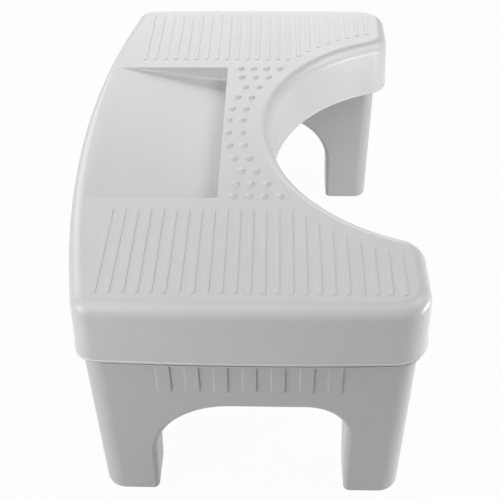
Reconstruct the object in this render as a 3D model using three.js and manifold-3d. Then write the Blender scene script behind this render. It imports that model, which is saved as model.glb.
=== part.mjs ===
// Bathroom step stool: a ribbed deck with a skirt, two hollow leg frames, four foot pads and six screws.
// Millimetres. +X runs along the stool, -Y is the rounded front, +Y is the cut-out, +Z is up.

import * as THREE from 'three';
import { mergeVertices, toCreasedNormals } from 'three/addons/utils/BufferGeometryUtils.js';
import Module from 'manifold-3d';

const wasm = await Module();
wasm.setup();

// Whole stool
const topHeight = 223; // floor to the flat of the deck
const contactGap = 0.3; // between pieces that rest on each other
const overshoot = 4; // how far a cutting shape runs past the face it opens

// Deck outline at the top edge
const deckHalfLength = 225.4;
const deckHalfWidth = 129.8; // centre line to the two horns
const frontBulge = 19.9; // how far the middle of the rounded front stands out past that width
const frontArcSetback = 30.1; // from each end to where the front arc falls back to that width
const endRadius = 3000;
const cornerRadius = 14.5; // at the rounded front
const backCornerRadius = 25;
const hornRadius = 22.4;
const hornSetback = 60.2; // from each end to the middle of a horn's rounding
const cutDepthLine = 13.5; // centre line to the deepest point of the cut-out

// Deck section
const skirtHeight = 53.8;
const skirtDraft = 0.05; // outward run for each millimetre down
const edgeRadius = 10.5;
const innerEdgeRadius = 7.5;
const skirtWall = 2.8;
const topWall = 3;
const lipHeight = 1.2;
const lipReach = 0.5;

// Sunk ramp in the deck
const rampHalfLength = 100.5;
const rampFrontMargin = 17.7; // from the deck's front edge to the start of the slope
const rampCutMargin = 41.5; // from the ramp's deep end to the cut-out
const rampDepth = 14.5;

// Raised ribs at each end
const ribCount = 23;
const ribSideMargin = 19.8; // from the outermost rib to the deck's width
const ribWidth = 3.7;
const ribHeight = 0.5;
const ribTopInset = 0.3;
const ribCorner = 1.3;
const ribEndMargin = 16.8; // from a rib's outer tip to the end of the deck
const ribRampMargin = 14.7; // from a rib's inner tip to the ramp
const ribCutMargin = 22.8; // distance kept from the cut-out
const ribRoot = 0.8;

// Domes in the middle, on an arc a little flatter than the cut-out's
const domeRadius = 3.5;
const domeHeight = 1.9;
const domeCutMargin = 24.8; // from the first line of domes to the cut-out, in the middle
const domeArcGrowth = 11.5; // how much longer that arc's radius is than the cut-out's
const domeArcStep = 0.117; // radians between neighbours along the arc
const domeLineStep = 12.4;
const domeCounts = [2, 2, 2, 2, 3, 4]; // from the middle outwards
const domeRoot = 0.8;

// Webs and bosses under the deck
const webThickness = 2.4;
const webLineShares = [-0.8, -0.5, -0.06, 0.28, 0.65]; // of the deck's half width
const crossLineShares = [-0.69, -0.46, -0.23, 0, 0.23, 0.46, 0.69]; // of its half length
const bossRadius = 5;
const bossLength = 24;
const pilotRadius = 2.2;
const pilotDepth = 18;
const bossArchMargin = 21.5; // from the outer bosses to the wall of the arch

// Leg frame
const footLift = 1; // the pads hold the leg this far off the floor
const legEndSetback = 2.9; // from the end of the deck's top to the leg's outer face
const legDepth = 40.5;
const legSideSetback = 4.2; // from the deck's width to the leg's
const legCornerRadius = 18; // at the outer face
const legInnerCornerRadius = 13;
const legTaper = 0.2; // each side leans in by this much from top to foot
const legWall = 3;
const legFootWall = 5;
const legTopDrop = 20.5; // from the flat of the deck to the leg's top rim
const collarSetback = 1.4; // from the skirt's lip to the collar's rim
const collarGap = 2.6; // dark line between the skirt and the collar
const collarHeight = 1.8;
const plugInset = 2.6; // the part inside the skirt stands back by this much
const plugCornerDrop = 7; // its outer corners are tighter than the deck's back corners by this much
const tubeRadius = 6;
const tubeBore = 4.2;
const tubeWeb = 3;
const screwHole = 2.3;

// Arch between the feet
const footLeftWidth = 48.6;
const footRightWidth = 49.1;
const archDrop = 55.6; // from the collar's top to the arch
const archLeftRadius = 61;
const archRightRadius = 33;
const archFootSpread = 4.5; // how much further apart the walls stand at the floor
const archEdgeRadius = 5.5;

// Tabs under the collar
const tabCount = 7;
const tabPitch = 21.5;
const tabWidth = 10.8;
const tabReach = 1;
const tabLength = 35; // from the collar's top down
const tabCorner = 3.6;
const tabRoot = 1;

// Foot pads
const padInset = 5.5;
const padThickness = 3;
const padGap = 0.3;

// Screws
const headRadius = 3.8;
const headHeight = 2.5;
const shankRadius = 1.9;
const shankLength = 20;
const socketRadius = 1.5;
const socketDepth = 1.4;

const deckFrontReach = deckHalfWidth + frontBulge;
const frontRadius = ((deckHalfLength - frontArcSetback) ** 2 + frontBulge ** 2) / (frontBulge + frontBulge);
const lipZ = topHeight - skirtHeight;
const lipSpread = skirtDraft * skirtHeight + lipReach;
const centreShift = frontBulge / 2; // brings the middle of the width to Y = 0

// The cut-out's circle touches both horns and the depth line.
const hornX = deckHalfLength - hornSetback;
const hornY = deckHalfWidth - hornRadius;
const hornDepth = hornY - cutDepthLine;
const cutRadius = (hornX ** 2 + hornDepth ** 2 - hornRadius ** 2) / ((hornRadius + hornDepth) * 2);
const cutCentre = cutDepthLine + cutRadius;

const rampFrontLine = deckFrontReach - rampFrontMargin;
const rampBackLine = rampCutMargin - cutDepthLine;
const ribOuterEnd = deckHalfLength - ribEndMargin;
const ribInnerEnd = rampHalfLength + ribRampMargin;
const ribPitch = ((deckHalfWidth - ribSideMargin) * 2) / (ribCount - 1);
const domeArcRadius = cutRadius + domeArcGrowth;
const domeArcCentre = cutDepthLine - domeCutMargin + domeArcRadius;

const legOuterX = deckHalfLength - legEndSetback;
const legInnerX = legOuterX - legDepth;
const legX = (legOuterX + legInnerX) / 2;
const legHalfWidth = deckHalfWidth - legSideSetback;
const legTop = topHeight - legTopDrop;
const plugCornerRadius = backCornerRadius - plugCornerDrop;
const collarTop = lipZ - collarGap;
const archLeft = legHalfWidth - footLeftWidth;
const archRight = legHalfWidth - footRightWidth;
const archTop = collarTop - archDrop;
const tabBottom = collarTop - tabLength;
const bossBottom = topHeight - topWall - bossLength;
const bossSpacing = archRight - bossArchMargin;
const bossLines = [-bossSpacing, 0, bossSpacing];

const point = (x, y, angle) => ({ x, y, nx: Math.cos(angle), ny: Math.sin(angle) });

// An arc of outline points. A negative side turns the normals to the arc's centre.
function arc(cx, cy, radius, from, to, steps, side = 1) {
  const points = [];
  for (let i = 0; i <= steps; i++) {
    const a = from + ((to - from) * i) / steps;
    points.push(point(cx + radius * Math.cos(a), cy + radius * Math.sin(a), side > 0 ? a : a + Math.PI));
  }
  return points;
}

// Where two circles cross; side picks one of the two crossings.
function crossing(ax, ay, ar, bx, by, br, side) {
  const d = Math.hypot(bx - ax, by - ay);
  const along = (ar * ar - br * br + d * d) / (d + d);
  const across = side * Math.sqrt(ar * ar - along * along);
  const ux = (bx - ax) / d;
  const uy = (by - ay) / d;
  return [ax + ux * along - uy * across, ay + uy * along + ux * across];
}

// Drops neighbours that lie on the same spot.
function tidy(points) {
  const near = 1e-6 * deckHalfLength;
  return points.filter((p, i) => {
    const q = points[(i + points.length - 1) % points.length];
    return Math.hypot(p.x - q.x, p.y - q.y) > near;
  });
}

// Plan outline of the deck, counter-clockwise, starting at the middle of the front.
function deckOutline() {
  const frontY = frontRadius - deckFrontReach;
  const endX = deckHalfLength - endRadius;
  const front = crossing(0, frontY, frontRadius - cornerRadius, endX, 0, endRadius - cornerRadius, 1);
  const backY = deckHalfWidth - backCornerRadius;
  const backX = endX + Math.sqrt((endRadius - backCornerRadius) ** 2 - backY ** 2);
  const frontTurn = Math.atan2(front[1] - frontY, front[0]);
  const endFrom = Math.atan2(front[1], front[0] - endX);
  const endTo = Math.atan2(backY, backX - endX);
  const hornTurn = Math.atan2(cutCentre - hornY, -hornX);
  const quarter = Math.PI / 2;
  const half = [
    ...arc(0, frontY, frontRadius, -quarter, frontTurn, 7),
    ...arc(front[0], front[1], cornerRadius, frontTurn, endFrom, 7),
    ...arc(endX, 0, endRadius, endFrom, endTo, 4),
    ...arc(backX, backY, backCornerRadius, endTo, quarter, 7),
    ...arc(hornX, hornY, hornRadius, quarter, hornTurn, 6),
    ...arc(0, cutCentre, cutRadius, hornTurn - Math.PI, -quarter, 13, -1),
  ];
  const mirrored = half.map((p) => ({ x: -p.x, y: p.y, nx: -p.nx, ny: p.ny })).reverse();
  return tidy([...half, ...mirrored]);
}

// A rounded rectangle as outline points, counter-clockwise; radii run from the lower right corner.
function roundedBox(x0, x1, y0, y1, radii, steps = 5) {
  const q = Math.PI / 2;
  const [a, b, c, d] = radii;
  return tidy([
    ...arc(x1 - a, y0 + a, a, -q, 0, steps),
    ...arc(x1 - b, y1 - b, b, 0, q, steps),
    ...arc(x0 + c, y1 - c, c, q, q + q, steps),
    ...arc(x0 + d, y0 + d, d, -q - q, -q, steps),
  ]);
}

// One ring of a loft: the outline moved out along its normals, at one height.
const ring = (outline, out, z) => outline.map((p) => [p.x + p.nx * out, p.y + p.ny * out, z]);

function solidFrom(positions, indices) {
  const geometry = new THREE.BufferGeometry();
  geometry.setAttribute('position', new THREE.Float32BufferAttribute(positions, 3));
  geometry.setIndex(indices);
  return solidOf(geometry);
}

function solidOf(geometry) {
  geometry.deleteAttribute('normal');
  geometry.deleteAttribute('uv');
  const merged = mergeVertices(geometry, 1e-4);
  return new wasm.Manifold(new wasm.Mesh({
    numProp: 3,
    vertProperties: new Float32Array(merged.attributes.position.array),
    triVerts: new Uint32Array(merged.index.array),
  }));
}

// A closed solid through rings of equal count, listed from the lowest to the highest.
function loft(rings) {
  const n = rings[0].length;
  const indices = [];
  for (let i = 0; i + 1 < rings.length; i++) {
    for (let j = 0; j < n; j++) {
      const k = (j + 1) % n;
      const a = i * n + j;
      const b = i * n + k;
      const c = (i + 1) * n + k;
      const d = (i + 1) * n + j;
      indices.push(a, b, c, a, c, d);
    }
  }
  const flat = (r) => r.map((p) => new THREE.Vector2(p[0], p[1]));
  const last = (rings.length - 1) * n;
  for (const [a, b, c] of THREE.ShapeUtils.triangulateShape(flat(rings[0]), [])) indices.push(a, c, b);
  for (const [a, b, c] of THREE.ShapeUtils.triangulateShape(flat(rings[rings.length - 1]), [])) {
    indices.push(last + a, last + b, last + c);
  }
  return solidFrom(rings.flat(2), indices);
}

const block = (x0, x1, y0, y1, z0, z1) => {
  const geometry = new THREE.BoxGeometry(x1 - x0, y1 - y0, z1 - z0);
  geometry.translate((x0 + x1) / 2, (y0 + y1) / 2, (z0 + z1) / 2);
  return solidOf(geometry);
};

const post = (x, y, radius, z0, z1, sides = 16) => {
  const geometry = new THREE.CylinderGeometry(radius, radius, z1 - z0, sides);
  geometry.rotateX(Math.PI / 2);
  geometry.translate(x, y, (z0 + z1) / 2);
  return solidOf(geometry);
};

const joined = (solids) => solids.reduce((a, b) => a.add(b));

// Turns a loft made along Z so that it runs along X: its x becomes Y and its y becomes Z.
const alongX = (solid) => solid.transform([0, 1, 0, 0, 0, 0, 1, 0, 1, 0, 0, 0, 0, 0, 0, 1]);

const halfTurn = (solid) => solid.rotate([0, 0, 180]);

// Deck

// Rings of the deck's outside; the top edge is a quarter round.
function deckBody(outline) {
  const rings = [ring(outline, lipSpread, lipZ), ring(outline, lipSpread, lipZ + lipHeight)];
  rings.push(ring(outline, lipSpread - lipReach, lipZ + lipHeight + lipReach));
  const steps = 5;
  for (let i = 0; i <= steps; i++) {
    const a = (i / steps) * (Math.PI / 2);
    const out = skirtDraft * edgeRadius * (1 - i / steps) - edgeRadius * (1 - Math.cos(a));
    rings.push(ring(outline, out, topHeight - edgeRadius * (1 - Math.sin(a))));
  }
  return loft(rings);
}

function deckHollow(outline) {
  const ceiling = topHeight - topWall;
  const outAt = (z) => skirtDraft * (topHeight - z) - skirtWall;
  const low = lipZ - overshoot;
  const rings = [ring(outline, outAt(low), low), ring(outline, outAt(ceiling - innerEdgeRadius),
    ceiling - innerEdgeRadius)];
  const steps = 2;
  for (let i = 1; i <= steps; i++) {
    const a = (i / steps) * (Math.PI / 2);
    const z = ceiling - innerEdgeRadius * (1 - Math.sin(a));
    rings.push(ring(outline, outAt(ceiling - innerEdgeRadius) - innerEdgeRadius * (1 - Math.cos(a)), z));
  }
  return loft(rings);
}

// A wedge that starts at the ramp's front line; grow thickens it for the wall below.
function rampWedge(grow) {
  const slope = rampDepth / (rampFrontLine - rampBackLine);
  const front = -rampFrontLine - overshoot - grow;
  const back = -rampBackLine + grow;
  const floorAt = (y) => topHeight - slope * (y + rampFrontLine) - grow;
  const high = topHeight + overshoot;
  const profile = [[front, floorAt(front)], [back, floorAt(back)], [back, high], [front, high]];
  const half = rampHalfLength + grow;
  return alongX(loft([profile.map((p) => [...p, -half]), profile.map((p) => [...p, half])]));
}

function domes() {
  const profile = [[domeRadius, -domeRoot], [domeRadius, 0]];
  const steps = 3;
  const sphere = (domeRadius ** 2 + domeHeight ** 2) / (domeHeight + domeHeight);
  const reach = Math.asin(domeRadius / sphere);
  for (let i = 1; i < steps; i++) {
    const a = reach * (1 - i / steps);
    profile.push([sphere * Math.sin(a), domeHeight - sphere * (1 - Math.cos(a))]);
  }
  profile.push([0, domeHeight]);
  profile.unshift([0, -domeRoot]);
  const all = [];
  domeCounts.forEach((count, row) => {
    const angle = (row + 0.5) * domeArcStep;
    for (let line = 0; line < count; line++) {
      for (const side of [-1, 1]) {
        const geometry = new THREE.LatheGeometry(profile.map((p) => new THREE.Vector2(...p)), 12);
        geometry.rotateX(Math.PI / 2);
        geometry.translate(side * domeArcRadius * Math.sin(angle),
          domeArcCentre - domeArcRadius * Math.cos(angle) - line * domeLineStep, topHeight);
        all.push(solidOf(geometry));
      }
    }
  });
  return joined(all);
}

function ribs() {
  const all = [];
  for (let i = 0; i < ribCount; i++) {
    const y = (i - (ribCount - 1) / 2) * ribPitch;
    const clearRadius = cutRadius + ribCutMargin;
    const rise = clearRadius ** 2 - (cutCentre - y) ** 2;
    const inner = Math.max(ribInnerEnd, rise > 0 ? Math.sqrt(rise) : 0);
    const r = ribWidth / 2;
    for (const side of [-1, 1]) {
      const x0 = side > 0 ? inner : -ribOuterEnd;
      const x1 = side > 0 ? ribOuterEnd : -inner;
      const outline = roundedBox(x0, x1, y - r, y + r, [ribCorner, ribCorner, ribCorner, ribCorner], 3);
      all.push(loft([ring(outline, 0, topHeight - ribRoot), ring(outline, 0, topHeight),
        ring(outline, -ribTopInset, topHeight + ribHeight)]));
    }
  }
  return joined(all);
}

// Webs stand clear of the legs' top rims; bosses take the leg screws.
function deckInside() {
  const low = legTop + contactGap;
  const high = topHeight - topWall / 2;
  const half = webThickness / 2;
  const reachX = deckHalfLength;
  const reachY = deckFrontReach;
  const webs = webLineShares.map((share) => {
    const y = share * deckHalfWidth;
    return block(-reachX, reachX, y - half, y + half, low, high);
  });
  const crosses = crossLineShares.map((share) => {
    const x = share * deckHalfLength;
    return block(x - half, x + half, -reachY, reachY, low, high);
  });
  const bosses = [];
  for (const side of [-1, 1]) {
    for (const y of bossLines) bosses.push(post(side * legX, side * y, bossRadius, bossBottom, high));
  }
  return joined([...webs, ...crosses, ...bosses]);
}

function deckShell() {
  const outline = deckOutline();
  const hollow = deckHollow(outline).subtract(rampWedge(topWall)).subtract(deckInside());
  const pilots = [];
  for (const side of [-1, 1]) {
    for (const y of bossLines) {
      pilots.push(post(side * legX, side * y, pilotRadius, bossBottom - overshoot, bossBottom + pilotDepth));
    }
  }
  return deckBody(outline).subtract(hollow).subtract(rampWedge(0)).add(ribs()).add(domes())
    .subtract(joined(pilots));
}

// Leg frame

// Tunnel between the feet, as an outline in Y and Z, wider towards the floor.
function archTunnel(grow, flare) {
  const low = -overshoot;
  const spread = (z) => (archFootSpread * Math.max(0, archTop - archLeftRadius - z)) / archTop;
  const left = archLeft + grow;
  const right = archRight + grow;
  const top = archTop + grow;
  const leftR = archLeftRadius + grow;
  const rightR = archRightRadius + grow;
  const q = Math.PI / 2;
  const lean = Math.atan2(archFootSpread, archTop);
  const outline = tidy([
    point(-left - spread(low), low, Math.PI + lean),
    point(right + spread(low), low, -lean),
    ...arc(right - rightR, top - rightR, rightR, 0, q, 6),
    ...arc(-left + leftR, top - leftR, leftR, q, q + q, 9),
  ]);
  const x0 = legInnerX - overshoot;
  const x1 = deckHalfLength + lipSpread + overshoot;
  if (!flare) return alongX(loft([ring(outline, 0, x0), ring(outline, 0, x1)]));
  const rings = [ring(outline, archEdgeRadius, x0)];
  const steps = 3;
  const roundTo = (x, direction) => {
    const list = [];
    for (let i = 0; i <= steps; i++) {
      const a = (i / steps) * q;
      list.push(ring(outline, archEdgeRadius * (1 - Math.sin(a)),
        x + direction * archEdgeRadius * (1 - Math.cos(a))));
    }
    return list;
  };
  rings.push(...roundTo(legInnerX, 1), ...roundTo(legOuterX, -1).reverse());
  rings.push(ring(outline, archEdgeRadius, x1));
  return alongX(loft(rings));
}

const legPlan = (x1, inset) => {
  const outer = legCornerRadius - inset;
  const inner = legInnerCornerRadius - inset;
  return roundedBox(legInnerX + inset, x1 - inset, -legHalfWidth + inset, legHalfWidth - inset,
    [outer, outer, inner, inner]);
};

// Plan of the part that stands inside the skirt.
const plugPlan = (inset) => {
  const y = legHalfWidth - plugInset - inset;
  const outer = plugCornerRadius - inset;
  const inner = legInnerCornerRadius - inset;
  return roundedBox(legInnerX + inset, legOuterX - plugInset - inset, -y, y, [outer, outer, inner, inner]);
};

const tubeTop = bossBottom - contactGap;

function legFrame() {
  const plan = legPlan(legOuterX, 0);
  const ledge = collarTop - collarHeight;
  let body = loft([ring(plan, -legTaper, footLift), ring(plan, 0, ledge)]);
  body = body.add(collar());
  body = body.add(loft([ring(plugPlan(0), 0, ledge), ring(plugPlan(0), 0, legTop)]));
  body = body.add(tabs()).subtract(archTunnel(0, true));
  const inner = legPlan(legOuterX, legWall);
  let hollow = loft([ring(inner, -legTaper, footLift + legFootWall), ring(inner, 0, ledge)]);
  hollow = hollow.add(loft([ring(plugPlan(legWall), 0, ledge - legWall),
    ring(plugPlan(legWall), 0, legTop + overshoot)]));
  hollow = hollow.subtract(archTunnel(legWall, false));
  const tubes = bossLines.map((y) => post(legX, y, tubeRadius, archTop - archLeftRadius, tubeTop));
  const clear = archTunnel(0, false);
  hollow = hollow.subtract(joined(tubes).subtract(clear));
  body = body.subtract(hollow);
  const bores = bossLines.map((y) => post(legX, y, tubeBore, 0, tubeTop - tubeWeb));
  const holes = bossLines.map((y) => post(legX, y, screwHole, 0, tubeTop + overshoot));
  const pockets = [-1, 1].map((side) => padSolid(side, padGap, footLift - overshoot, padThickness + padGap));
  return body.subtract(joined([...bores, ...holes, ...pockets]));
}

// The collar follows the skirt and suits either end of the stool.
function collar() {
  const outline = deckOutline();
  const out = lipSpread - collarSetback;
  const rim = loft([ring(outline, out, collarTop - collarHeight), ring(outline, out, collarTop)]);
  const reach = deckHalfLength + lipSpread;
  const span = block(legX, reach, -legHalfWidth, legHalfWidth, collarTop - collarHeight, collarTop);
  const plan = legPlan(legOuterX, 0);
  const core = loft([ring(plan, 0, collarTop - collarHeight), ring(plan, 0, collarTop)]);
  return rim.intersect(halfTurn(rim)).intersect(span).add(core);
}

// Low tabs on the outer face, hanging from the collar.
function tabs() {
  const all = [];
  for (let i = 0; i < tabCount; i++) {
    const y = (i - (tabCount - 1) / 2) * tabPitch;
    const r = tabCorner;
    const small = tabReach / 2;
    const outline = roundedBox(y - tabWidth / 2, y + tabWidth / 2, tabBottom, collarTop - collarHeight / 2,
      [r, small, small, r], 4);
    all.push(alongX(loft([ring(outline, 0, legOuterX - tabRoot), ring(outline, 0, legOuterX + small),
      ring(outline, -small, legOuterX + tabReach)])));
  }
  return joined(all);
}

// Foot pads

// A pad's plan on one foot; side is -1 for the front foot and 1 for the back foot.
function padSolid(side, grow, z0, z1) {
  const inset = padInset - grow;
  const wall = (side < 0 ? archLeft : archRight) + archFootSpread;
  const near = wall + inset;
  const far = legHalfWidth - legTaper - inset;
  const r = legInnerCornerRadius - inset;
  const [y0, y1] = side < 0 ? [-far, -near] : [near, far];
  const plan = roundedBox(legInnerX + inset, legOuterX - inset, y0, y1, [r, r, r, r], 4);
  return loft([ring(plan, 0, z0), ring(plan, 0, z1)]);
}

// Screws

// One screw, head down, standing in a tube of the leg.
function screwSolid(x, y) {
  const headTop = tubeTop - tubeWeb - contactGap;
  const head = post(x, y, headRadius, headTop - headHeight, headTop, 18);
  const shank = post(x, y, shankRadius, headTop - headHeight / 2, headTop + shankLength, 12);
  const socket = post(x, y, socketRadius, headTop - headHeight - overshoot,
    headTop - headHeight + socketDepth, 6);
  return head.add(shank).subtract(socket);
}

// Assembly

const stoolPlastic = { color: 0xe4e4e2, roughness: 0.5, metalness: 0 };
const padRubber = { color: 0x9b9b9a, roughness: 0.85, metalness: 0 };
const screwSteel = { color: 0xb9b9b7, roughness: 0.35, metalness: 1 };

function meshOf(name, solid, look) {
  const { vertProperties, triVerts } = solid.getMesh();
  const geometry = new THREE.BufferGeometry();
  geometry.setAttribute('position', new THREE.BufferAttribute(new Float32Array(vertProperties), 3));
  geometry.setIndex(new THREE.BufferAttribute(new Uint32Array(triVerts), 1));
  const mesh = new THREE.Mesh(toCreasedNormals(geometry, 0.5), new THREE.MeshStandardMaterial(look));
  mesh.name = name;
  return mesh;
}

const stool = new THREE.Group();
const centred = new THREE.Group();
centred.position.y = centreShift;
stool.add(centred);

centred.add(meshOf('deck_shell', deckShell(), stoolPlastic));
const leg = legFrame();
centred.add(meshOf('leg_near', leg, stoolPlastic));
centred.add(meshOf('leg_far', halfTurn(leg), stoolPlastic));

let padNumber = 0;
for (const side of [-1, 1]) {
  const pad = padSolid(side, 0, 0, padThickness);
  for (const placed of [pad, halfTurn(pad)]) {
    padNumber += 1;
    centred.add(meshOf(`foot_pad_${padNumber}`, placed, padRubber));
  }
}

let screwNumber = 0;
for (const y of bossLines) {
  const screw = screwSolid(legX, y);
  for (const placed of [screw, halfTurn(screw)]) {
    screwNumber += 1;
    centred.add(meshOf(`leg_screw_${screwNumber}`, placed, screwSteel));
  }
}

export default stool;
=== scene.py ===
# Bathroom step stool: a moulded deck on two moulded legs, with rubber pads and steel screws.
# Shapes are worked out in millimetres about the legs' own axis, then brought into the frame in metres.

import bpy
import bmesh
import math
from mathutils import Matrix, Vector


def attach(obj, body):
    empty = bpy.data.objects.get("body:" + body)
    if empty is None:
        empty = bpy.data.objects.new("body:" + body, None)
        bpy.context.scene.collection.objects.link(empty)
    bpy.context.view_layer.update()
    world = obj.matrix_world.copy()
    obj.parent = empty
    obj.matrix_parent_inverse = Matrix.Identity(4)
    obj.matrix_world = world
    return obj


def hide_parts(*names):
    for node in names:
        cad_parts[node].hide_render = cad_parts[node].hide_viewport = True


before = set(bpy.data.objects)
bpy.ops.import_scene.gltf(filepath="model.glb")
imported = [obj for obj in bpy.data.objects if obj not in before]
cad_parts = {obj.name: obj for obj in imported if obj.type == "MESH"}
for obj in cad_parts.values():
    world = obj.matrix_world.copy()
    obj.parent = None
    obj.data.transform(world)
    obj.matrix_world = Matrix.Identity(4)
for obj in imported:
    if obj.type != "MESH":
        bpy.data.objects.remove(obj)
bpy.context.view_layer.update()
quarter = math.pi / 2
past = 4     # mm, how far a cutter reaches past the face it opens
hair = 1e-3  # mm, closer than this counts as the same place


# Camera

cameraValues = {
    "place": (0.647092, 0.026938, 0.657841),  # metres
    "pitch": 41.879,   # degrees below the horizon
    "yaw": -2.032,
    "roll": -0.87,
    "lens": 63.36,     # on a 36 mm sensor
}


def placeCamera(values):
    pitch, yaw, roll = (math.radians(values[k]) for k in ("pitch", "yaw", "roll"))
    ahead = Vector((-math.cos(pitch) * math.cos(yaw), math.cos(pitch) * math.sin(yaw), -math.sin(pitch)))
    level = ahead.cross(Vector((0, 0, 1))).normalized()
    rise = level.cross(ahead)
    right = level * math.cos(roll) + rise * math.sin(roll)
    up = rise * math.cos(roll) - level * math.sin(roll)
    lens = bpy.data.cameras.new("camera")
    lens.lens = values["lens"]
    lens.sensor_width = 36
    lens.clip_start, lens.clip_end = 0.01, 50
    camera = bpy.data.objects.new("camera", lens)
    turn = Matrix((right, up, -ahead)).transposed().to_4x4()
    camera.matrix_world = Matrix.Translation(values["place"]) @ turn
    bpy.context.scene.collection.objects.link(camera)
    bpy.context.scene.camera = camera


placeCamera(cameraValues)
print("camera placed")


# Mesh helpers

def newPiece(bm, name):
    mesh = bpy.data.meshes.new(name)
    bm.to_mesh(mesh)
    bm.free()
    piece = bpy.data.objects.new(name, mesh)
    bpy.context.scene.collection.objects.link(piece)
    return piece


def combine(piece, tool, operation="DIFFERENCE"):
    cut = piece.modifiers.new("cut", "BOOLEAN")
    cut.operation = operation
    cut.solver = "EXACT"
    cut.object = tool
    done = bpy.data.meshes.new_from_object(piece.evaluated_get(bpy.context.evaluated_depsgraph_get()))
    piece.modifiers.clear()
    before, piece.data = piece.data, done
    bpy.data.meshes.remove(before)
    bpy.data.objects.remove(tool)
    return piece


def addBlock(bm, low, high):
    verts = bmesh.ops.create_cube(bm, size=1)["verts"]
    low, high = Vector(low), Vector(high)
    bmesh.ops.scale(bm, vec=high - low, verts=verts)
    bmesh.ops.translate(bm, vec=(low + high) / 2, verts=verts)
    return verts


def addPost(bm, x, y, radius, low, high, sides=32):
    verts = bmesh.ops.create_cone(bm, cap_ends=True, cap_tris=False, segments=sides, radius1=radius,
                                  radius2=radius, depth=high - low)["verts"]
    bmesh.ops.translate(bm, vec=(x, y, (low + high) / 2), verts=verts)
    return verts


def edgesOf(verts, wanted):
    found = {edge for vert in verts for edge in vert.link_edges}
    return [edge for edge in found if wanted(edge.verts[0].co, edge.verts[1].co)]


def roundOff(bm, edges, offset, segments):
    return bmesh.ops.bevel(bm, geom=edges, offset=offset, offset_type="OFFSET", segments=segments,
                           profile=0.5, affect="EDGES", material=-1, clamp_overlap=False)


def isUpright(a, b):
    return abs(a.x - b.x) < hair and abs(a.y - b.y) < hair


def turnVert(bm, vert, centre, angle, steps):
    swept = bmesh.ops.spin(bm, geom=[vert], cent=centre, axis=(0, 0, 1), dvec=(0, 0, 0), angle=angle,
                           steps=steps, use_merge=False, use_duplicate=False)
    return onlyVerts(swept["geom_last"])[0]


def stepVert(bm, vert, place):
    new = bmesh.ops.extrude_vert_indiv(bm, verts=[vert])["verts"][0]
    new.co = place
    return new


def raiseFace(bm, face, height):
    moved = bmesh.ops.extrude_face_region(bm, geom=[face])["geom"]
    bmesh.ops.translate(bm, vec=(0, 0, height), verts=onlyVerts(moved))
    return next(item for item in moved if isinstance(item, bmesh.types.BMFace))


def onlyVerts(items):
    return [item for item in items if isinstance(item, bmesh.types.BMVert)]


def everything(bm):
    return bm.verts[:] + bm.edges[:] + bm.faces[:]


def insetFace(bm, face, thickness, depth):
    bmesh.ops.inset_region(bm, faces=[face], thickness=thickness, depth=depth, use_even_offset=True,
                           use_boundary=True)
    return face


# Closes an outline of edges with one face that points up.
def fillOutline(bm):
    face = bmesh.ops.contextual_create(bm, geom=bm.edges[:])["faces"][0]
    face.normal_update()
    if face.normal.z < 0:
        bmesh.ops.reverse_faces(bm, faces=[face])
    return face


# Carries the top face round a quarter circle, inwards by across and upwards by rise.
def roundTop(bm, face, across, rise, steps):
    for i in range(steps):
        a, b = quarter * i / steps, quarter * (i + 1) / steps
        insetFace(bm, face, across * (math.cos(a) - math.cos(b)), rise * (math.sin(b) - math.sin(a)))


def sealShell(bm):
    bmesh.ops.remove_doubles(bm, verts=bm.verts[:], dist=0.0005)
    bmesh.ops.recalc_face_normals(bm, faces=bm.faces[:])


# Deck

deckValues = {
    "halfLength": 225.4, "halfWidth": 129.8, "frontBulge": 19.9, "frontArcSetback": 30.1,
    "endRadius": 3000, "cornerRadius": 14.5, "backCornerRadius": 25,
    "hornRadius": 22.4, "hornSetback": 60.2, "cutDepth": 13.5,
    "top": 223, "skirt": 53.8, "draft": 0.05, "edgeRadius": 10.5, "wall": 2.8, "topWall": 3,
    "innerRadius": 7.5, "lipHeight": 1.2, "lipReach": 0.5,
    "frontSteps": 22, "cornerSteps": 14, "endSteps": 12, "cutSteps": 32, "edgeSteps": 9, "innerSteps": 4,
    "rampHalf": 100.5, "rampFront": 132, "rampBack": 28, "rampDepth": 14.5, "rampFillet": 1.6,
    "ribCount": 23, "ribPitch": 10, "ribWidth": 3.7, "ribHeight": 0.5, "ribRound": 0.35, "ribCorner": 1.3,
    "ribOuter": 208.6, "ribInner": 115.2, "ribCutMargin": 22.8, "ribRoot": 0.8,
    "domeRadius": 3.5, "domeHeight": 1.9, "domeArcStep": 0.117, "domeLineStep": 12.4,
    "domeCounts": (2, 2, 2, 2, 3, 4), "domeCutMargin": 24.8, "domeArcGrowth": 11.5,
    "domeRoot": 0.6,
    "webShares": (-0.8, -0.5, -0.06, 0.28, 0.65),  # of the half width
    "crossShares": (-0.69, -0.46, -0.23, 0, 0.23, 0.46, 0.69),  # of the half length
    "web": 2.4, "webLow": 202.8, "webHalfLength": 240, "crossHalfLength": 160,
    "webStep": 0.2,  # keeps the tops of webs, cross webs and bosses off one plane
    "bossRadius": 5, "bossLow": 196, "pilotRadius": 2.2, "pilotDepth": 18,
}


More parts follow.
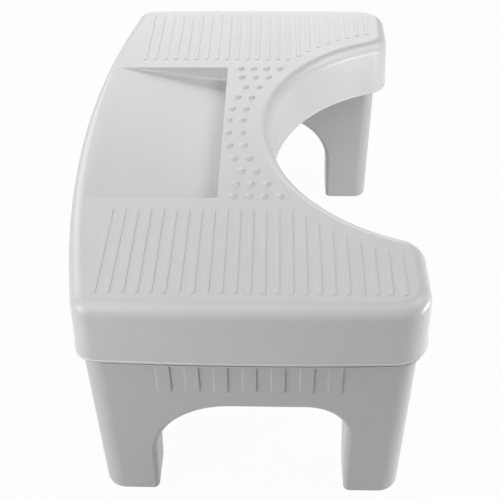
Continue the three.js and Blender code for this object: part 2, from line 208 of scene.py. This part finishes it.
# One flat face with the deck's outline, offset outwards by grow.
def outlineFace(bm, values, grow, height):
    v = values
    reach = v["halfWidth"] + v["frontBulge"]
    frontR = ((v["halfLength"] - v["frontArcSetback"]) ** 2 + v["frontBulge"] ** 2) / (2 * v["frontBulge"])
    front = Vector((0, frontR - reach, height))
    end = Vector((v["halfLength"] - v["endRadius"], 0, height))
    # the front corner's circle lies inside both arcs
    a, b = frontR - v["cornerRadius"], v["endRadius"] - v["cornerRadius"]
    across = end - front
    d = across.length
    along = (a * a - b * b + d * d) / (2 * d)
    side = math.sqrt(a * a - along * along)
    unit = across / d
    corner = front + unit * along + Vector((-unit.y, unit.x, 0)) * side
    backY = v["halfWidth"] - v["backCornerRadius"]
    backR = v["endRadius"] - v["backCornerRadius"]
    back = Vector((end.x + math.sqrt(backR * backR - backY * backY), backY, height))
    horn = Vector((v["halfLength"] - v["hornSetback"], v["halfWidth"] - v["hornRadius"], height))
    drop = horn.y - v["cutDepth"]
    cutR = (horn.x ** 2 + drop ** 2 - v["hornRadius"] ** 2) / (2 * (v["hornRadius"] + drop))
    cut = Vector((0, v["cutDepth"] + cutR, height))
    frontTurn = math.atan2(corner.y - front.y, corner.x)
    endFrom = math.atan2(corner.y, corner.x - end.x)
    endTo = math.atan2(back.y, back.x - end.x)
    hornTurn = math.atan2(cut.y - horn.y, -horn.x)
    vert = bm.verts.new((0, front.y - frontR - grow, height))
    vert = turnVert(bm, vert, front, frontTurn + quarter, v["frontSteps"])
    vert = turnVert(bm, vert, corner, endFrom - frontTurn, v["cornerSteps"])
    vert = turnVert(bm, vert, end, endTo - endFrom, v["endSteps"])
    vert = turnVert(bm, vert, back, quarter - endTo, v["cornerSteps"])
    vert = stepVert(bm, vert, (horn.x, horn.y + v["hornRadius"] + grow, height))
    vert = turnVert(bm, vert, horn, hornTurn - quarter, v["cornerSteps"])
    turnVert(bm, vert, cut, quarter - hornTurn, v["cutSteps"])
    bmesh.ops.mirror(bm, geom=everything(bm), matrix=Matrix.Identity(4), merge_dist=hair, axis="X")
    bmesh.ops.remove_doubles(bm, verts=bm.verts[:], dist=0.005)
    return fillOutline(bm)


def deckBody(values):
    v = values
    bm = bmesh.new()
    spread = v["draft"] * v["skirt"] + v["lipReach"]
    lip = v["top"] - v["skirt"]
    face = outlineFace(bm, v, spread, lip)
    face = raiseFace(bm, face, v["lipHeight"])
    insetFace(bm, face, v["lipReach"], v["lipReach"])
    low = lip + v["lipHeight"] + v["lipReach"]
    insetFace(bm, face, v["draft"] * (v["top"] - v["edgeRadius"] - low), v["top"] - v["edgeRadius"] - low)
    lean = v["draft"] * v["edgeRadius"]
    roundTop(bm, face, v["edgeRadius"] + lean, v["edgeRadius"], v["edgeSteps"])
    sealShell(bm)
    return newPiece(bm, "deck")


def deckHollow(values):
    v = values
    bm = bmesh.new()
    low = v["top"] - v["skirt"] - past
    ceiling = v["top"] - v["topWall"]
    face = outlineFace(bm, v, v["draft"] * (v["top"] - low) - v["wall"], low)
    bend = ceiling - v["innerRadius"]
    face = raiseFace(bm, face, 1)
    insetFace(bm, face, v["draft"] * (bend - low), bend - low - 1)
    roundTop(bm, face, v["innerRadius"], v["innerRadius"], v["innerSteps"])
    sealShell(bm)
    return newPiece(bm, "deckHollow")


# The ramp's space: floor rising to the front, open above and ahead, rounded at the back and along the floor.
def rampWedge(values, grow, fillet):
    v = values
    bm = bmesh.new()
    slope = v["rampDepth"] / (v["rampFront"] - v["rampBack"])
    front, back = -v["rampFront"] - past - grow, -v["rampBack"] + grow
    lid = v["top"] + past
    verts = addBlock(bm, (-v["rampHalf"] - grow, front, 0), (v["rampHalf"] + grow, back, lid))
    for vert in verts:
        if vert.co.z < 1:
            vert.co.z = v["top"] - slope * (vert.co.y + v["rampFront"]) - grow
    if fillet:
        middle = (front + back) / 2
        edges = edgesOf(verts, lambda a, b: max(a.y, b.y) > middle
                        and (isUpright(a, b) or max(a.z, b.z) < lid - 1))
        roundOff(bm, edges, fillet, 4)
    return newPiece(bm, "rampWedge")


# The cut-out's radius, from a circle that touches both horns.
def cutRadius(values):
    v = values
    hornX, drop = v["halfLength"] - v["hornSetback"], v["halfWidth"] - v["hornRadius"] - v["cutDepth"]
    return (hornX ** 2 + drop ** 2 - v["hornRadius"] ** 2) / (2 * (v["hornRadius"] + drop))


def ribBars(values):
    v = values
    bm = bmesh.new()
    half = v["ribWidth"] / 2
    cutR = cutRadius(v)
    for i in range(v["ribCount"]):
        y = (i - (v["ribCount"] - 1) / 2) * v["ribPitch"]
        rise = (cutR + v["ribCutMargin"]) ** 2 - (v["cutDepth"] + cutR - y) ** 2
        inner = max(v["ribInner"], math.sqrt(max(rise, 0)))
        for side in (-1, 1):
            ends = sorted((side * inner, side * v["ribOuter"]))
            verts = addBlock(bm, (ends[0], y - half, v["top"] - v["ribRoot"]),
                             (ends[1], y + half, v["top"] + v["ribHeight"]))
            made = roundOff(bm, edgesOf(verts, isUpright), v["ribCorner"], 4)
            top = v["top"] + v["ribHeight"] - hair
            rim = edgesOf(made["verts"], lambda a, b: a.z > top and b.z > top)
            rim = [edge for edge in rim if len([f for f in edge.link_faces if f.normal.z > 0.5]) == 1]
            roundOff(bm, rim, v["ribRound"], 3)
    return newPiece(bm, "ribBars")


def domeSet(values):
    v = values
    bm = bmesh.new()
    ball = (v["domeRadius"] ** 2 + v["domeHeight"] ** 2) / (2 * v["domeHeight"])
    first = bmesh.ops.create_uvsphere(bm, u_segments=24, v_segments=20, radius=ball)["verts"]
    bmesh.ops.translate(bm, vec=(0, 0, v["top"] + v["domeHeight"] - ball), verts=first)
    cut = bmesh.ops.bisect_plane(bm, geom=everything(bm), plane_co=(0, 0, v["top"] - v["domeRoot"]),
                                 plane_no=(0, 0, -1), clear_outer=True)
    rim = [item for item in cut["geom_cut"] if isinstance(item, bmesh.types.BMEdge)]
    bmesh.ops.contextual_create(bm, geom=rim)
    bmesh.ops.recalc_face_normals(bm, faces=bm.faces[:])
    arcR = cutRadius(v) + v["domeArcGrowth"]
    centreY = v["cutDepth"] - v["domeCutMargin"] + arcR
    pattern = everything(bm)
    for row, count in enumerate(v["domeCounts"]):
        angle = (row + 0.5) * v["domeArcStep"]
        for line in range(count):
            y = centreY - arcR * math.cos(angle) - line * v["domeLineStep"]
            for side in (-1, 1):
                copy = bmesh.ops.duplicate(bm, geom=pattern)["geom"]
                bmesh.ops.translate(bm, verts=onlyVerts(copy), vec=(side * arcR * math.sin(angle), y, 0))
    bmesh.ops.delete(bm, geom=onlyVerts(pattern), context="VERTS")
    return newPiece(bm, "domeSet")


def buildDeck(values, legValues):
    v = values
    hollow = combine(deckHollow(v), rampWedge(v, v["topWall"], 0))
    half = v["web"] / 2
    high = v["top"] - v["topWall"] / 2
    webs = bmesh.new()
    for share in v["webShares"]:
        y = share * v["halfWidth"]
        addBlock(webs, (-v["webHalfLength"], y - half, v["webLow"]), (v["webHalfLength"], y + half, high))
    combine(hollow, newPiece(webs, "webs"))
    crosses = bmesh.new()
    for share in v["crossShares"]:
        x = share * v["halfLength"]
        addBlock(crosses, (x - half, -v["crossHalfLength"], v["webLow"]),
                 (x + half, v["crossHalfLength"], high - v["webStep"]))
    combine(hollow, newPiece(crosses, "crosses"))
    bosses, pilots = bmesh.new(), bmesh.new()
    for side in (-1, 1):
        for y in legValues["screwLines"]:
            place = (side * legValues["screwX"], side * y)
            addPost(bosses, *place, v["bossRadius"], v["bossLow"], high - 2 * v["webStep"])
            addPost(pilots, *place, v["pilotRadius"], v["bossLow"] - past,
                    v["bossLow"] + v["pilotDepth"], 20)
    combine(hollow, newPiece(bosses, "bosses"))
    deck = combine(deckBody(v), hollow)
    combine(deck, rampWedge(v, 0, v["rampFillet"]))
    combine(deck, newPiece(pilots, "pilots"))
    combine(deck, ribBars(v), "UNION")
    combine(deck, domeSet(v), "UNION")
    return deck


# Legs

legValues = {
    "outer": 222.5, "inner": 182, "half": 125.6, "corner": 18, "innerCorner": 13, "taper": 0.2,
    "foot": 1, "footRound": 1.4,
    "collarTop": 166.6, "collarHeight": 1.8, "collarSetback": 1.4, "collarEnd": 260, "collarSideGap": 0.05,
    "bodyDrop": 0.3,  # the body's top stays below the collar's
    "plugTop": 202.5, "plugInset": 2.6, "plugCorner": 18, "plugRoot": 6,
    "wall": 3, "footWall": 5,
    "archLeft": 77, "archRight": 76.5, "archTop": 111, "archLeftRadius": 61, "archRightRadius": 33,
    "archSpread": 4.5, "archRound": 5.5, "archSteps": 6, "archMouth": 8, "archBelow": 6,
    "tabCount": 7, "tabPitch": 21.5, "tabWidth": 10.8, "tabBottom": 131.6, "tabReach": 1, "tabCorner": 3.6,
    "tabRound": 0.65, "tabRoot": 1,
    "tubeRadius": 6, "tubeRoot": 30, "tubeBore": 4.2, "tubeTop": 195.7, "tubeWeb": 3, "screwHole": 2.3,
    "screwX": 202.25, "screwLines": (-55, 0, 55),
    "padGap": 0.3, "padInset": 5.5, "padThickness": 3,
}


# The space between the feet, made flat, then run along X with rounded mouths at both faces.
def archTunnel(values, grow, flare):
    v = values
    bm = bmesh.new()
    swell = grow + flare
    left, right, top = v["archLeft"], v["archRight"], v["archTop"]
    leftR, rightR = v["archLeftRadius"], v["archRightRadius"]
    start = bm.verts.new((-left - swell, top - leftR, 0))  # x stands for Y and y for Z until the turn below
    vert = turnVert(bm, start, (leftR - left, top - leftR, 0), -quarter, 20)
    vert = stepVert(bm, vert, (right - rightR, top + swell, 0))
    vert = turnVert(bm, vert, (right - rightR, top - rightR, 0), -quarter, 14)
    vert = stepVert(bm, vert, (right + swell, top - leftR, 0))
    spread = v["archSpread"] * (top - leftR + v["archBelow"]) / top
    vert = stepVert(bm, vert, (right + swell + spread, -v["archBelow"], 0))
    stepVert(bm, vert, (-left - swell - spread, -v["archBelow"], 0))
    bmesh.ops.remove_doubles(bm, verts=bm.verts[:], dist=hair)
    face = raiseFace(bm, fillOutline(bm), v["archMouth"])
    middle = (v["outer"] + v["inner"]) / 2
    steps = v["archSteps"] if flare else 0
    for i in range(steps):
        a, b = quarter * i / steps, quarter * (i + 1) / steps
        insetFace(bm, face, flare * (math.sin(b) - math.sin(a)), flare * (math.cos(a) - math.cos(b)))
    insetFace(bm, face, 0, middle - v["inner"] - flare)
    bmesh.ops.delete(bm, geom=[face], context="FACES_ONLY")
    bmesh.ops.translate(bm, vec=(0, 0, v["inner"] - v["archMouth"] - middle), verts=bm.verts[:])
    bmesh.ops.mirror(bm, geom=everything(bm), axis="Z", merge_dist=hair, matrix=Matrix.Identity(4))
    bmesh.ops.translate(bm, vec=(0, 0, middle), verts=bm.verts[:])
    sealShell(bm)
    turn = Matrix(((0, 0, 1, 0), (1, 0, 0, 0), (0, 1, 0, 0), (0, 0, 0, 1)))
    bmesh.ops.transform(bm, matrix=turn, verts=bm.verts[:])
    return newPiece(bm, "archTunnel")


# An upright block with rounded corners; its foot end leans in by taper.
def legBlock(values, inset, low, high, corners, taper, name):
    v = values
    bm = bmesh.new()
    verts = addBlock(bm, (v["inner"] + inset[0], -v["half"] + inset[1], low),
                     (v["outer"] - inset[2], v["half"] - inset[1], high))
    middle = (v["inner"] + v["outer"]) / 2
    for vert in verts:
        if vert.co.z < low + 1:
            vert.co.x -= math.copysign(taper, vert.co.x - middle)
            vert.co.y -= math.copysign(taper, vert.co.y)
    for radius, isOuter in zip(corners, (False, True)):
        edges = edgesOf(bm.verts[:], lambda a, b: abs(a.z - b.z) > 1 and (a.x > middle) == isOuter)
        roundOff(bm, edges, radius, 9)
    return newPiece(bm, name)


# The collar follows the deck's outline; both legs are alike, so it keeps what both ends of the deck share.
def collarBand(values, deck):
    v = values
    spread = deck["draft"] * deck["skirt"] + deck["lipReach"] - v["collarSetback"]
    low = v["collarTop"] - v["collarHeight"]
    bands = []
    for turn, spare in ((0, 0), (180, 1)):
        bm = bmesh.new()
        face = outlineFace(bm, deck, spread, low - spare)
        raiseFace(bm, face, v["collarHeight"] + 2 * spare)
        turned = Matrix.Rotation(math.radians(turn), 3, "Z")
        bmesh.ops.rotate(bm, cent=(0, 0, 0), matrix=turned, verts=bm.verts[:])
        sealShell(bm)
        bands.append(newPiece(bm, "band"))
    band = combine(bands[0], bands[1], "INTERSECT")
    bm = bmesh.new()
    side = v["half"] - v["collarSideGap"]
    addBlock(bm, ((v["outer"] + v["inner"]) / 2, -side, low - past / 2),
             (v["collarEnd"], side, v["collarTop"] + past / 2))
    return combine(band, newPiece(bm, "span"), "INTERSECT")


def tabSet(values):
    v = values
    bm = bmesh.new()
    half = v["tabWidth"] / 2
    ledge = v["collarTop"] - v["collarHeight"]
    faceX = v["outer"] + v["tabReach"]
    for i in range(v["tabCount"]):
        y = (i - (v["tabCount"] - 1) / 2) * v["tabPitch"]
        verts = addBlock(bm, (v["outer"] - v["tabRoot"], y - half, v["tabBottom"]),
                         (faceX, y + half, v["collarTop"] - v["collarHeight"] / 2))
        feet = edgesOf(verts, lambda a, b: max(a.z, b.z) < v["tabBottom"] + 1 and abs(a.y - b.y) < hair)
        made = roundOff(bm, feet, v["tabCorner"], 7)
        shell = {vert for facet in made["faces"] for vert in facet.verts}
        shell = shell | {vert for vert in verts if vert.is_valid}
        rim = edgesOf(shell, lambda a, b: min(a.x, b.x) > faceX - hair and min(a.z, b.z) < ledge)
        rim = [edge for edge in rim if len(edge.link_faces) == 2
               and any(abs(side.normal.x) < 0.5 for side in edge.link_faces)]
        roundOff(bm, rim, v["tabRound"], 3)
    return newPiece(bm, "tabSet")


def padBlock(values, side, grow, low, high, name):
    v = values
    inset = v["padInset"] - grow
    near = (v["archLeft"] if side < 0 else v["archRight"]) + v["archSpread"] + inset
    far = v["half"] - v["taper"] - inset
    bm = bmesh.new()
    ends = sorted((side * near, side * far))
    verts = addBlock(bm, (v["inner"] + inset, ends[0], low), (v["outer"] - inset, ends[1], high))
    roundOff(bm, edgesOf(verts, isUpright), v["innerCorner"] - inset, 8)
    return newPiece(bm, name)


def buildLeg(values, deck):
    v = values
    ledge = v["collarTop"] - v["collarHeight"]
    leg = legBlock(v, (0, 0, 0), v["foot"], v["collarTop"] - v["bodyDrop"],
                   (v["innerCorner"], v["corner"]), v["taper"], "leg_frame_near")
    plug = legBlock(v, (0, v["plugInset"], v["plugInset"]), ledge - v["plugRoot"], v["plugTop"],
                    (v["innerCorner"], v["plugCorner"]), 0, "plug")
    combine(leg, plug, "UNION")
    combine(leg, collarBand(v, deck), "UNION")
    combine(leg, tabSet(v), "UNION")
    combine(leg, archTunnel(v, 0, v["archRound"]))
    bm = bmesh.new()
    bm.from_mesh(leg.data)
    low = v["foot"] + 0.01
    roundOff(bm, edgesOf(bm.verts[:], lambda a, b: a.z < low and b.z < low), v["footRound"], 3)
    bm.to_mesh(leg.data)
    bm.free()
    w = v["wall"]
    hollow = legBlock(v, (w, w, w), v["foot"] + v["footWall"], ledge,
                      (v["innerCorner"] - w, v["corner"] - w), v["taper"], "hollow")
    upper = legBlock(v, (w + 0.02, v["plugInset"] + w, v["plugInset"] + w), ledge - w, v["plugTop"] + past,
                     (v["innerCorner"] - w, v["plugCorner"] - w), 0, "upper")  # 0.02 keeps the walls apart
    combine(hollow, upper, "UNION")
    combine(hollow, archTunnel(v, w, 0))
    tubes, bores, holes = bmesh.new(), bmesh.new(), bmesh.new()
    for y in v["screwLines"]:
        addPost(tubes, v["screwX"], y, v["tubeRadius"], v["archTop"] - v["tubeRoot"], v["tubeTop"])
        addPost(bores, v["screwX"], y, v["tubeBore"], 0, v["tubeTop"] - v["tubeWeb"], 28)
        addPost(holes, v["screwX"], y, v["screwHole"], 0, v["tubeTop"] + past, 20)
    combine(hollow, newPiece(tubes, "tubes"))
    combine(leg, hollow)
    combine(leg, newPiece(bores, "bores"))
    combine(leg, newPiece(holes, "holes"))
    for side in (-1, 1):
        combine(leg, padBlock(v, side, v["padGap"], -3, v["padThickness"] + v["padGap"], "pocket"))
    return leg


# Pads

padValues = {"grooves": 5, "grooveWidth": 2.2, "grooveDepth": 0.8, "grooveMargin": 4, "rim": 0.6}


def buildPad(values, leg, side, name):
    pad = padBlock(leg, side, 0, 0, leg["padThickness"], name)
    bm = bmesh.new()
    bm.from_mesh(pad.data)
    roundOff(bm, edgesOf(bm.verts[:], lambda a, b: a.z < 0.01 and b.z < 0.01), values["rim"], 3)
    bm.to_mesh(pad.data)
    low = min(vert.co.y for vert in bm.verts)
    high = max(vert.co.y for vert in bm.verts)
    bm.free()
    cuts = bmesh.new()
    half = values["grooveWidth"] / 2
    margin = leg["padInset"] + values["grooveMargin"]
    for i in range(values["grooves"]):
        y = low + (high - low) * (i + 1) / (values["grooves"] + 1)
        verts = addBlock(cuts, (leg["inner"] + margin, y - half, -past / 2),
                         (leg["outer"] - margin, y + half, values["grooveDepth"]))
        roundOff(cuts, edgesOf(verts, isUpright), values["grooveWidth"] * 0.48, 4)  # all but a half circle
    return combine(pad, newPiece(cuts, "grooves"))


# Smooth shading and place in the frame

finishValues = {"sharpAngle": 32, "normalWeight": 50}
centreShift = deckValues["frontBulge"] / 2  # the frame's middle is halfway across the whole width


def settle(piece, node, halfTurn=False):
    mesh = piece.data
    if halfTurn:
        mesh.transform(Matrix.Rotation(math.pi, 4, "Z"))
    mesh.transform(Matrix.Scale(0.001, 4) @ Matrix.Translation((0, centreShift, 0)))
    mesh.shade_smooth()
    mesh.set_sharp_from_angle(angle=math.radians(finishValues["sharpAngle"]))
    weigh = piece.modifiers.new("weigh", "WEIGHTED_NORMAL")
    weigh.keep_sharp = True
    weigh.weight = finishValues["normalWeight"]
    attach(piece, "root")
    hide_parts(node)
    return piece


deck = settle(buildDeck(deckValues, legValues), "deck_shell")
print("deck built:", len(deck.data.vertices), "points")
legNear = buildLeg(legValues, deckValues)
legFar = legNear.copy()
legFar.data = legNear.data.copy()
legFar.name = "leg_frame_far"
bpy.context.scene.collection.objects.link(legFar)
settle(legNear, "leg_near")
settle(legFar, "leg_far", halfTurn=True)
print("legs built:", len(legNear.data.vertices), "points each")

pads = []
for index, (side, half) in enumerate(((-1, False), (-1, True), (1, False), (1, True)), 1):
    pad = buildPad(padValues, legValues, side, f"pad_{index}")
    pads.append(settle(pad, f"foot_pad_{index}", half))
print("pads built")


# Materials

def newGroup(name, inputs, outputs):
    group = bpy.data.node_groups.new(name, "ShaderNodeTree")
    for label, kind, value in inputs:
        socket = group.interface.new_socket(name=label, in_out="INPUT", socket_type=kind)
        socket.default_value = value
    for label, kind in outputs:
        group.interface.new_socket(name=label, in_out="OUTPUT", socket_type=kind)
    return group, group.nodes.new("NodeGroupInput"), group.nodes.new("NodeGroupOutput")


def link(tree, source, target):
    tree.links.new(source, target)


# Fine moulded texture: an etched grain on top of slow waviness.
def grainGroup():
    group, inn, out = newGroup("mouldedGrain",
        [("Vector", "NodeSocketVector", (0, 0, 0)), ("Grain Scale", "NodeSocketFloat", 1600),
         ("Wave Scale", "NodeSocketFloat", 22), ("Wave Share", "NodeSocketFloat", 0.3)],
        [("Height", "NodeSocketFloat"), ("Mask", "NodeSocketFloat")])
    fine = group.nodes.new("ShaderNodeTexNoise")
    fine.inputs["Detail"].default_value = 3
    fine.inputs["Roughness"].default_value = 0.6
    slow = group.nodes.new("ShaderNodeTexNoise")
    slow.inputs["Detail"].default_value = 2
    mix = group.nodes.new("ShaderNodeMix")
    for node, label in ((fine, "Grain Scale"), (slow, "Wave Scale")):
        link(group, inn.outputs["Vector"], node.inputs["Vector"])
        link(group, inn.outputs[label], node.inputs["Scale"])
    link(group, inn.outputs["Wave Share"], mix.inputs["Factor"])
    link(group, fine.outputs["Fac"], mix.inputs["A"])
    link(group, slow.outputs["Fac"], mix.inputs["B"])
    link(group, mix.outputs["Result"], out.inputs["Height"])
    link(group, slow.outputs["Fac"], out.inputs["Mask"])
    return group


# Faint tone changes over a moulding, spread at random by a noise texture.
def toneGroup():
    group, inn, out = newGroup("softTone",
        [("Vector", "NodeSocketVector", (0, 0, 0)), ("Base", "NodeSocketColor", (0.8, 0.8, 0.8, 1)),
         ("Worn", "NodeSocketColor", (0.75, 0.75, 0.75, 1)), ("Scale", "NodeSocketFloat", 7)],
        [("Color", "NodeSocketColor"), ("Mask", "NodeSocketFloat")])
    cloud = group.nodes.new("ShaderNodeTexNoise")
    cloud.inputs["Detail"].default_value = 5
    cloud.inputs["Roughness"].default_value = 0.55
    ramp = group.nodes.new("ShaderNodeMapRange")
    ramp.inputs["From Min"].default_value = 0.35
    ramp.inputs["From Max"].default_value = 0.72
    mix = group.nodes.new("ShaderNodeMix")
    mix.data_type = "RGBA"
    link(group, inn.outputs["Vector"], cloud.inputs["Vector"])
    link(group, inn.outputs["Scale"], cloud.inputs["Scale"])
    link(group, cloud.outputs["Fac"], ramp.inputs["Value"])
    link(group, ramp.outputs["Result"], mix.inputs["Factor"])
    link(group, inn.outputs["Base"], mix.inputs[6])  # 6, 7 and 2 are the node's colour sockets
    link(group, inn.outputs["Worn"], mix.inputs[7])
    link(group, mix.outputs[2], out.inputs["Color"])
    link(group, ramp.outputs["Result"], out.inputs["Mask"])
    return group


grain, tone = grainGroup(), toneGroup()

plasticValues = {"base": (0.63, 0.63, 0.625, 1), "worn": (0.605, 0.605, 0.6, 1), "toneScale": 6,
                 "grainScale": 1500, "bump": 0.05, "roughLow": 0.28, "roughHigh": 0.38}
rubberValues = {"base": (0.32, 0.32, 0.315, 1), "worn": (0.27, 0.27, 0.265, 1), "toneScale": 30,
                "grainScale": 2600, "bump": 0.25, "roughLow": 0.75, "roughHigh": 0.9}
steelValues = {"base": (0.55, 0.55, 0.54, 1), "worn": (0.42, 0.42, 0.41, 1), "toneScale": 120,
               "grainScale": 5200, "bump": 0.15, "roughLow": 0.28, "roughHigh": 0.45}


def newMaterial(name, values, metallic):
    material = bpy.data.materials.new(name)
    material.use_nodes = True
    tree = material.node_tree
    shader = tree.nodes["Principled BSDF"]
    shader.inputs["Metallic"].default_value = metallic
    place = tree.nodes.new("ShaderNodeTexCoord")
    colour = tree.nodes.new("ShaderNodeGroup")
    colour.node_tree = tone
    colour.inputs["Base"].default_value = values["base"]
    colour.inputs["Worn"].default_value = values["worn"]
    colour.inputs["Scale"].default_value = values["toneScale"]
    surface = tree.nodes.new("ShaderNodeGroup")
    surface.node_tree = grain
    surface.inputs["Grain Scale"].default_value = values["grainScale"]
    rough = tree.nodes.new("ShaderNodeMapRange")
    rough.inputs["To Min"].default_value = values["roughLow"]
    rough.inputs["To Max"].default_value = values["roughHigh"]
    bump = tree.nodes.new("ShaderNodeBump")
    bump.inputs["Strength"].default_value = values["bump"]
    bump.inputs["Distance"].default_value = 0.0002
    link(tree, place.outputs["Object"], colour.inputs["Vector"])
    link(tree, place.outputs["Object"], surface.inputs["Vector"])
    link(tree, colour.outputs["Color"], shader.inputs["Base Color"])
    link(tree, surface.outputs["Mask"], rough.inputs["Value"])
    link(tree, rough.outputs["Result"], shader.inputs["Roughness"])
    link(tree, surface.outputs["Height"], bump.inputs["Height"])
    link(tree, bump.outputs["Normal"], shader.inputs["Normal"])
    return material


# Painted shade: the legs' grey is set darker than the deck's to stand in for the shade that falls on the
# legs below the deck's skirt.
legPaintedShadeValues = {**plasticValues, "base": (0.54, 0.54, 0.535, 1), "worn": (0.515, 0.515, 0.51, 1)}

plastic = newMaterial("stoolPlastic", plasticValues, 0)
legPlasticPaintedShade = newMaterial("legPlasticPaintedShade", legPaintedShadeValues, 0)
rubber = newMaterial("padRubber", rubberValues, 0)
steel = newMaterial("screwSteel", steelValues, 1)


def dress(piece, material):
    piece.data.materials.clear()
    piece.data.materials.append(material)


dress(deck, plastic)
# Both legs take the grey that has painted shade in it.
dress(legNear, legPlasticPaintedShade)
dress(legFar, legPlasticPaintedShade)
for pad in pads:
    dress(pad, rubber)
for name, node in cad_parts.items():
    if name.startswith("leg_screw"):
        dress(node, steel)
    elif name.startswith("foot_pad"):
        dress(node, rubber)
    else:
        dress(node, plastic)
print("materials made")


# Floor, world and lamps

stageValues = {
    "size": 14, "floorColour": (0.5, 0.5, 0.5, 1), "floorRoughness": 0.9,
    "lift": 0.97,       # share of the floor's white that the camera and reflections see
    "worldLight": 0.03,
}
lampValues = {
    # name: place, aim, width, height, watts
    "backdrop": ((-1.8, 0, 0.9), (0, 0, 0.15), 1.4, 1.0, 12),
    "overEnd": ((0.55, -0.2, 1.9), (0, 0, 0.15), 1.2, 0.5, 6),
    "nearHigh": ((1.2, -0.7, 1.2), (0, 0, 0.2), 0.7, 0.7, 4),
    "right": ((0, 1.3, 1.5), (0, 0, 0.15), 1.1, 1.1, 15),
    "frontNear": ((0.7, -0.85, 0.5), (0.2, -0.05, 0.15), 0.6, 0.5, 6),
    "frontFar": ((-1.3, -1.2, 0.8), (0, 0, 0.15), 1.0, 1.0, 8),
    "underBack": ((0.16, 0.6, 0.08), (-0.14, 0.05, 0.03), 0.3, 0.15, 1.8),
}


def seenFactor(tree, share):
    path = tree.nodes.new("ShaderNodeLightPath")
    first = tree.nodes.new("ShaderNodeMath")
    first.operation = "MAXIMUM"
    second = tree.nodes.new("ShaderNodeMath")
    second.operation = "MAXIMUM"
    scale = tree.nodes.new("ShaderNodeMath")
    scale.operation = "MULTIPLY"
    scale.inputs[1].default_value = share
    link(tree, path.outputs["Is Camera Ray"], first.inputs[0])
    link(tree, path.outputs["Is Glossy Ray"], first.inputs[1])
    link(tree, first.outputs[0], second.inputs[0])
    link(tree, path.outputs["Is Transmission Ray"], second.inputs[1])
    link(tree, second.outputs[0], scale.inputs[0])
    return scale.outputs[0]


def buildStage(values):
    bm = bmesh.new()
    bmesh.ops.create_grid(bm, x_segments=8, y_segments=8, size=values["size"] / 2)
    floor = newPiece(bm, "floor")
    material = bpy.data.materials.new("paleFloor")
    material.use_nodes = True
    tree = material.node_tree
    shader = tree.nodes["Principled BSDF"]
    shader.inputs["Base Color"].default_value = values["floorColour"]
    shader.inputs["Roughness"].default_value = values["floorRoughness"]
    glow = tree.nodes.new("ShaderNodeEmission")
    glow.inputs["Color"].default_value = (1, 1, 1, 1)
    mix = tree.nodes.new("ShaderNodeMixShader")
    link(tree, seenFactor(tree, values["lift"]), mix.inputs[0])
    link(tree, shader.outputs[0], mix.inputs[1])
    link(tree, glow.outputs[0], mix.inputs[2])
    link(tree, mix.outputs[0], tree.nodes["Material Output"].inputs["Surface"])
    floor.data.materials.append(material)


def buildWorld(values):
    world = bpy.data.worlds.new("studio")
    bpy.context.scene.world = world
    world.use_nodes = True
    tree = world.node_tree
    light = tree.nodes["Background"]
    light.inputs["Color"].default_value = (1, 1, 1, 1)
    light.inputs["Strength"].default_value = values["worldLight"]
    seen = tree.nodes.new("ShaderNodeBackground")
    seen.inputs["Color"].default_value = (1, 1, 1, 1)
    mix = tree.nodes.new("ShaderNodeMixShader")
    link(tree, seenFactor(tree, 1), mix.inputs[0])
    link(tree, light.outputs[0], mix.inputs[1])
    link(tree, seen.outputs[0], mix.inputs[2])
    link(tree, mix.outputs[0], tree.nodes["World Output"].inputs["Surface"])


def buildLamps(values):
    for name, (place, aim, width, height, watts) in values.items():
        lamp = bpy.data.lights.new(name, "AREA")
        lamp.shape = "RECTANGLE"
        lamp.size, lamp.size_y, lamp.energy = width, height, watts
        holder = bpy.data.objects.new(name, lamp)
        ahead = Vector(aim) - Vector(place)
        turn = ahead.to_track_quat("-Z", "Y").to_matrix().to_4x4()
        holder.matrix_world = Matrix.Translation(place) @ turn
        bpy.context.scene.collection.objects.link(holder)


buildStage(stageValues)
buildWorld(stageValues)
buildLamps(lampValues)
bpy.context.scene.view_settings.view_transform = "Standard"
print("stage and lamps set")
